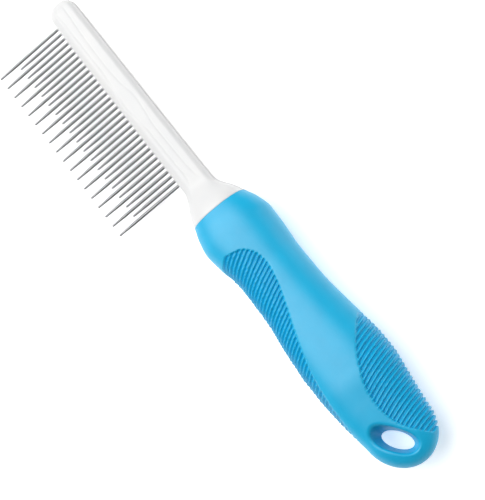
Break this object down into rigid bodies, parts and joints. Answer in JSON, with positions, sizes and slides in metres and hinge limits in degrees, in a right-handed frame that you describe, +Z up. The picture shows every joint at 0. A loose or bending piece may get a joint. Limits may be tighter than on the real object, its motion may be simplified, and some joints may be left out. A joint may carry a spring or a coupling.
{
  "type": "pet grooming comb",
  "caption": "Hand-held pet grooming comb: a row of alternating long and short round steel teeth in a stiff white bar, with a soft ribbed blue grip and an oval hang hole.",
  "frame": {"origin": "on the surface that the comb lies on, under the middle of its box", "axes": "+X along the comb from the tip of the bar to the end of the grip, +Y across it from the teeth to the back, +Z up through its thickness, with the comb lying flat on one face"},
  "size_m": [0.203, 0.0506, 0.0196],
  "materials": {
    "white_plastic": "satin moulded ABS",
    "blue_soft_touch": "satin thermoplastic rubber with ribbed panels",
    "steel": "polished stainless wire"
  },
  "bodies": {
    "root": {"comb_body": "white_plastic", "grip": "blue_soft_touch", "tooth_long_01": "steel", "tooth_long_02": "steel", "tooth_long_03": "steel", "tooth_long_04": "steel", "tooth_long_05": "steel", "tooth_long_06": "steel", "tooth_long_07": "steel", "tooth_long_08": "steel", "tooth_long_09": "steel", "tooth_long_10": "steel", "tooth_long_11": "steel", "tooth_long_12": "steel", "tooth_long_13": "steel", "tooth_long_14": "steel", "tooth_long_15": "steel", "tooth_long_16": "steel", "tooth_long_17": "steel", "tooth_long_18": "steel", "tooth_short_01": "steel", "tooth_short_02": "steel", "tooth_short_03": "steel", "tooth_short_04": "steel", "tooth_short_05": "steel", "tooth_short_06": "steel", "tooth_short_07": "steel", "tooth_short_08": "steel", "tooth_short_09": "steel", "tooth_short_10": "steel", "tooth_short_11": "steel", "tooth_short_12": "steel", "tooth_short_13": "steel", "tooth_short_14": "steel", "tooth_short_15": "steel", "tooth_short_16": "steel", "tooth_short_17": "steel"}
  },
  "joints": []
}
